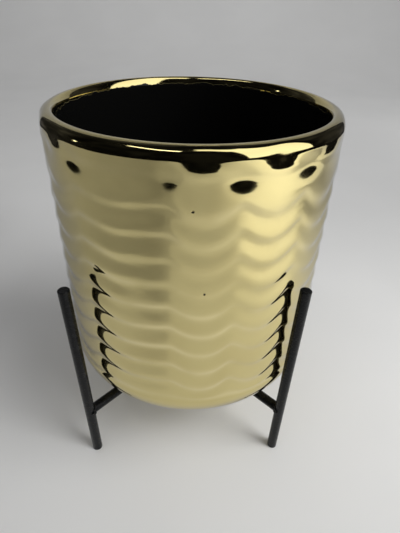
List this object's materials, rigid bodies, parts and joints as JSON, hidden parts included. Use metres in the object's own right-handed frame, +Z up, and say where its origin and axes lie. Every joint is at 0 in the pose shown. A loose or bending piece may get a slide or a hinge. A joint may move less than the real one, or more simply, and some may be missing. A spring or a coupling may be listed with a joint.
{
  "type": "planter with stand",
  "caption": "Round glazed ceramic planter pot with rings of shallow overlapping scallops round its wall, lowered into an open welded stand of upright round bars and crossed bars.",
  "frame": {"origin": "on the pot's axis, at the level of the surface that the stand's feet rest on", "axes": "+Z up along the pot's axis; -Y towards the viewer; +X to the viewer's right"},
  "size_m": [0.1536, 0.1536, 0.2087],
  "materials": {
    "gold_glaze": "mirror-bright pale gold glaze outside and over the lip, near-black gloss glaze inside",
    "black_paint": "satin"
  },
  "bodies": {
    "stand": {"upright_front_left": "black_paint", "upright_front_right": "black_paint", "upright_rear_left": "black_paint", "upright_rear_right": "black_paint", "bar_long": "black_paint", "bar_half_right": "black_paint", "bar_half_left": "black_paint"},
    "planter": {"pot": "gold_glaze"}
  },
  "joints": [
    {"name": "pot_lift", "type": "slide", "parent": "stand", "child": "planter", "axis": [0, 0, 1], "range_m": [0, 0.105]}
  ]
}
